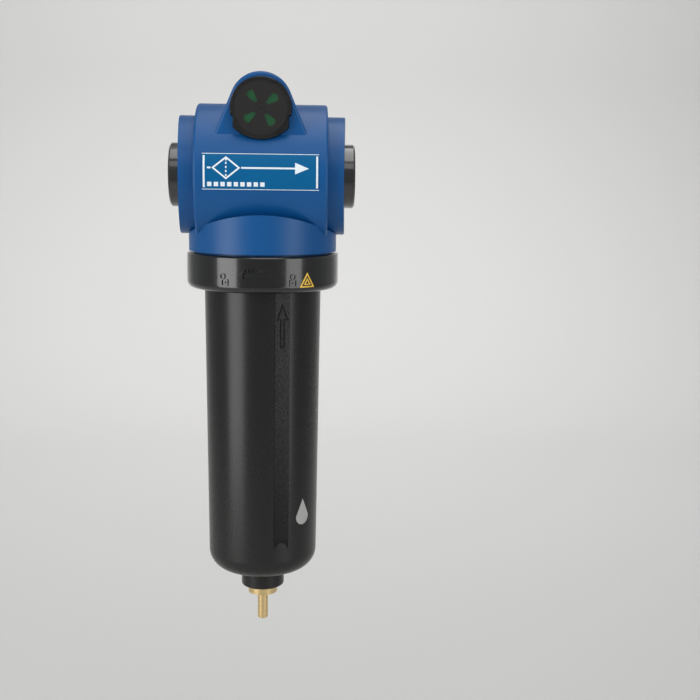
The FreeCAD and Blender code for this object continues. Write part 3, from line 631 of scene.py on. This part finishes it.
# ---------------------------------------------------------------- filter element, layers
# Fleece-covered pleats stand between an inner tube of punched steel and an outer sleeve of expanded
# steel, whose diamonds are cut and pulled open from one sheet. Both caps are bonded on.
expanded_steel = new_finish(
    "expanded_steel",
    {"Metallic": 1.0},
    (0.42, 0.42, 0.41),
    dark=0.6,
    rough=0.34,
    spread=0.2,
    grain=1400.0,
    blotch=260.0,
    bump=0.00002,
)
fleece = new_finish(
    "white_fleece",
    {"Specular IOR Level": 0.15, "Sheen Weight": 0.15},
    (0.88, 0.88, 0.865),
    dark=0.93,
    rough=0.85,
    spread=0.1,
    grain=2600.0,
    blotch=160.0,
    bump=0.00012,
)


def rolled_sheet(name, outer, base, top, columns, rows, web, thick, diamonds, *stands_for):
    """A tube rolled from a sheet that is pierced all over, with diamond or square openings."""
    bm = bmesh.new()
    bmesh.ops.create_grid(bm, x_segments=columns, y_segments=rows, size=0.5)
    for v in bm.verts:
        turn = (v.co.x + 0.5) * math.tau
        v.co = (outer * math.sin(turn), -outer * math.cos(turn), base + (v.co.y + 0.5) * (top - base))
    bmesh.ops.remove_doubles(bm, verts=bm.verts[:], dist=0.00001)
    if diamonds:
        straight = [edge for edge in bm.edges if len(edge.link_faces) == 2]
        bmesh.ops.poke(bm, faces=bm.faces[:])
        bmesh.ops.dissolve_edges(bm, edges=straight, use_verts=False)
    openings = bm.faces[:]
    bmesh.ops.inset_individual(bm, faces=openings, thickness=web / 2, use_even_offset=True)
    bmesh.ops.delete(bm, geom=openings, context="FACES_ONLY")
    for v in bm.verts:
        out = outer / math.hypot(v.co.x, v.co.y)
        v.co = (v.co.x * out, v.co.y * out, v.co.z)
    bmesh.ops.recalc_face_normals(bm, faces=bm.faces[:])
    bmesh.ops.solidify(bm, geom=bm.faces[:], thickness=thick)
    widest = max(math.hypot(v.co.x, v.co.y) for v in bm.verts)
    for v in bm.verts:
        out = outer / widest
        v.co = (v.co.x * out, v.co.y * out, v.co.z)
    bmesh.ops.recalc_face_normals(bm, faces=bm.faces[:])
    finished(name, bm, expanded_steel, "element", "expanded_steel", *stands_for)


sleeve_low, sleeve_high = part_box("mesh_sleeve")
core_low, core_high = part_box("inner_core")
rolled_sheet(
    "diamond_sleeve", sleeve_high.x, sleeve_low.z, sleeve_high.z, 35, 22, 0.00065, 0.0006, True, "mesh_sleeve"
)
rolled_sheet(
    "punched_core", core_high.x, core_low.z, core_high.z, 30, 38, 0.0020, 0.0009, False, "inner_core"
)

media_low, media_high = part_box("pleated_media")
media_bore = 0.0236
pleats = 56
pleat_steps = 6
pleat_depth = 0.0008
bm = bmesh.new()
bmesh.ops.create_circle(bm, cap_ends=False, segments=pleats * pleat_steps, radius=media_high.x)
for number, v in enumerate(bm.verts):
    depth = pleat_depth / 2 * (1 - math.cos(number * math.tau / pleat_steps))
    v.co *= 1 - depth / media_high.x
bmesh.ops.create_circle(bm, cap_ends=False, segments=pleats * pleat_steps, radius=media_bore)
bmesh.ops.bridge_loops(bm, edges=bm.edges[:])
bmesh.ops.solidify(bm, geom=bm.faces[:], thickness=media_high.z - media_low.z)
lowest = min(v.co.z for v in bm.verts)
bmesh.ops.translate(bm, verts=bm.verts[:], vec=(0, 0, media_low.z - lowest))
bmesh.ops.recalc_face_normals(bm, faces=bm.faces[:])
finished("fleece_pleats", bm, fleece, "element", "white_media", "pleated_media")

# ---------------------------------------------------------------- bowl
# Deep aluminium bowl, cast with a little draft and enamelled black. A flat runs down its front right
# side with a raised arrow that meets the lock marks. An O-ring seals its neck in the head.
bowl_enamel = new_finish(
    "bowl_enamel",
    {"Specular IOR Level": 0.36, "Coat Weight": 0.0},
    (0.0115, 0.0112, 0.011),
    dark=0.72,
    rough=0.28,
    spread=0.05,
    grain=900.0,
    blotch=22.0,
    bump=0.0000015,
    stretch=(1.0, 1.0, 0.4),
)
silver_film = new_finish(
    "silver_film",
    {"Metallic": 0.4},
    (0.50, 0.50, 0.49),
    dark=0.88,
    rough=0.34,
    spread=0.1,
    grain=2800.0,
    blotch=140.0,
    bump=0.00001,
)
dress("bowl_casting", bowl_enamel)
dress("bowl_o_ring", rubber)
dress("droplet_label", silver_film)

bowl_foot = 0.044
bowl_foot_radius = 0.0412
bowl_top = 0.2663
bowl_top_radius = 0.0435
flat_angle = math.radians(21)
flat_half = 0.0058
flat_base = 0.062
flat_runout = 0.014
flat_sink = 0.0009
flat_proud = 0.00008
arrow_height = 0.238


def bowl_radius(height):
    """The bowl's outside at a height."""
    draft = (bowl_top_radius - bowl_foot_radius) / (bowl_top - bowl_foot)
    return bowl_foot_radius + draft * (height - bowl_foot)


def on_the_flat(bm, height, proud):
    """Moves marks drawn in the X-Z plane onto the bowl's flat, standing proud of its face."""
    for v in bm.verts:
        up = height + v.co.z
        v.co = (v.co.x, v.co.y - bowl_radius(up) - proud, up)
    bmesh.ops.rotate(bm, verts=bm.verts[:], cent=(0, 0, 0), matrix=Matrix.Rotation(flat_angle, 3, "Z"))


def softened(piece, width):
    """Rounds the edges of a cast mark."""
    edges = piece.modifiers.new("cast_edges", "BEVEL")
    edges.width = width
    edges.segments = 2
    edges.limit_method = "ANGLE"
    edges.angle_limit = math.radians(40)


flat_length = (bowl_top - flat_base) * 1000
bm = bmesh.new()
flat_face(bm, bar(-flat_half * 1000, flat_half * 1000, 0, flat_length))
bmesh.ops.solidify(bm, geom=bm.faces[:], thickness=0.0012)
forward = min(v.co.y for v in bm.verts)
bmesh.ops.translate(bm, verts=bm.verts[:], vec=(0, -forward, 0))
front = [edge for edge in bm.edges if all(abs(v.co.y) < 0.00001 for v in edge.verts)]
bmesh.ops.bevel(bm, geom=front, offset=0.0003, segments=3, profile=0.5, affect="EDGES", material=-1)
# The flat sinks into the bowl's side at its lower end, as a milled flat runs out.
bmesh.ops.bisect_plane(
    bm, geom=bm.verts[:] + bm.edges[:] + bm.faces[:], plane_co=(0, 0, flat_runout), plane_no=(0, 0, 1)
)
for v in bm.verts:
    if v.co.z < flat_runout / 2:
        v.co.y += flat_sink
bmesh.ops.recalc_face_normals(bm, faces=bm.faces[:])
on_the_flat(bm, flat_base, flat_proud)
finished("bowl_flat", bm, bowl_enamel, "bowl", "black_enamel")

bm = bmesh.new()
outlined(
    bm,
    [(0, 16.4), (-4.3, 4.4), (-1.7, 4.4), (-1.7, -16.2), (1.7, -16.2), (1.7, 4.4), (4.3, 4.4)],
    0.8,
)
bmesh.ops.recalc_face_normals(bm, faces=bm.faces[:])
bmesh.ops.solidify(bm, geom=bm.faces[:], thickness=0.0009)
back = max(v.co.y for v in bm.verts)
bmesh.ops.translate(bm, verts=bm.verts[:], vec=(0, -back, 0))
bmesh.ops.recalc_face_normals(bm, faces=bm.faces[:])
on_the_flat(bm, arrow_height, -0.00015)
# The arrow is cast in the bowl's own enamel. Its darker colour here is painted shade, standing in for the
# shade in the crevices round its raised outline.
arrow_painted_shade = new_finish(
    "arrow_painted_shade",
    {"Specular IOR Level": 0.2},
    (0.007, 0.007, 0.007),
    dark=0.6,
    rough=0.55,
    grain=2400.0,
    blotch=180.0,
    bump=0.00002,
)
softened(finished("bowl_arrow", bm, arrow_painted_shade, "bowl", "black_enamel"), 0.00018)

# ---------------------------------------------------------------- drain and float
# Turned brass body with a thin flange, clamped by a plated nut over a rubber washer. The hose tail
# turns in it on an O-ring to open, and a moulded float lifts a rubber plunger off its seat.
brass = new_finish(
    "turned_brass",
    {"Metallic": 1.0},
    (0.80, 0.60, 0.30),
    dark=0.82,
    rough=0.27,
    spread=0.15,
    grain=300.0,
    blotch=60.0,
    bump=0.00001,
    stretch=(1.0, 1.0, 9.0),
)
zinc = new_finish(
    "zinc_plate",
    {"Metallic": 1.0},
    (0.50, 0.50, 0.52),
    dark=0.78,
    rough=0.38,
    spread=0.2,
    grain=1200.0,
    blotch=200.0,
    bump=0.00001,
)
float_plastic = new_finish(
    "float_plastic",
    {"Specular IOR Level": 0.4, "Subsurface Weight": 0.1, "Subsurface Radius": (0.002, 0.002, 0.0018)},
    (0.70, 0.69, 0.64),
    dark=0.9,
    rough=0.48,
    spread=0.1,
    grain=1600.0,
    blotch=90.0,
    bump=0.00002,
)
for node in ("drain_body", "drain_stem"):
    dress(node, brass)
for node in ("drain_seal", "drain_stem_o_ring", "valve_plunger"):
    dress(node, rubber)
dress("drain_lock_nut", zinc)
dress("float", float_plastic)

# ---------------------------------------------------------------- coupling ring
# Cast and enamelled ring that turns to lock the bowl to the head. It carries raised marks, an open
# and a closed padlock with a two-headed arrow between them, and a printed caution triangle.
ring_enamel = new_finish(
    "ring_enamel",
    {"Specular IOR Level": 0.34, "Coat Weight": 0.65, "Coat Roughness": 0.10},
    (0.006, 0.006, 0.006),
    dark=0.7,
    rough=0.22,
    spread=0.10,
    grain=190.0,
    blotch=40.0,
    bump=0.00009,
)
caution_film = new_finish(
    "caution_film",
    {"Specular IOR Level": 0.5},
    (0.84, 0.53, 0.055),
    dark=0.88,
    rough=0.34,
    grain=2600.0,
    blotch=150.0,
    bump=0.00001,
)
dress("coupling_ring", ring_enamel)
dress("caution_label", caution_film)

ring_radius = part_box("coupling_ring")[1].x
caution_height = 0.2715
caution_angle = 35.7
mark_relief = 0.0010
mark_sink = 0.0001
mark_edge = 0.00022


def round_the_ring(bm, angle, height, radius):
    """Wraps marks drawn in the X-Z plane round the ring."""
    for v in bm.verts:
        turn = math.radians(angle) + v.co.x / radius
        out = radius - v.co.y
        v.co = (out * math.sin(turn), -out * math.cos(turn), height + v.co.z)


def padlock(bm, across, closed):
    """A padlock in outline: a square body under a ring that is shut or swung aside."""
    outlined(bm, [(across + x, z) for x, z in bar(-2.6, 2.6, -4.6, 0.2)], 0.6)
    outlined(bm, circle(2.1, across if closed else across - 1.8, 2.2), 0.6)
    flat_face(bm, circle(0.7, across, -2.2, 10))


for name, angle, closed in (("lock_mark_open", -26.5, False), ("lock_mark_shut", 24.0, True)):
    bm = bmesh.new()
    padlock(bm, 0.0, closed)
    thickened(bm, mark_relief, 0)
    round_the_ring(bm, angle, 0.2725, ring_radius - mark_sink)
    softened(finished(name, bm, ring_enamel, "coupling", "black_enamel"), mark_edge)

bm = bmesh.new()
flat_face(bm, bar(-9.0, 9.0, -0.7, 0.7))
for side in (-1, 1):
    flat_face(bm, [(side * 9.0, -2.4), (side * 13.4, 0.0), (side * 9.0, 2.4)])
    for step in range(3):
        across = side * (2.0 + 2.4 * step)
        slant = ((0.0, 2.2), (0.9, 2.2), (2.1, 4.6), (1.2, 4.6))
        flat_face(bm, [(across + side * x, z) for x, z in slant])
thickened(bm, mark_relief, 0)
round_the_ring(bm, -3.0, 0.2755, ring_radius - mark_sink)
softened(finished("turn_arrow", bm, ring_enamel, "coupling", "black_enamel"), mark_edge)

bm = bmesh.new()
outlined(bm, [(-4.5, -3.6), (4.5, -3.6), (0, 3.9)], 0.8)
flat_face(bm, [(-1.2, -2.0), (1.2, -2.0), (0, 0.4)])
thickened(bm, 0.0001, 0)
round_the_ring(bm, caution_angle, caution_height, ring_radius + 0.00026)
finished("caution_print", bm, rubber, "coupling", "caution_film")
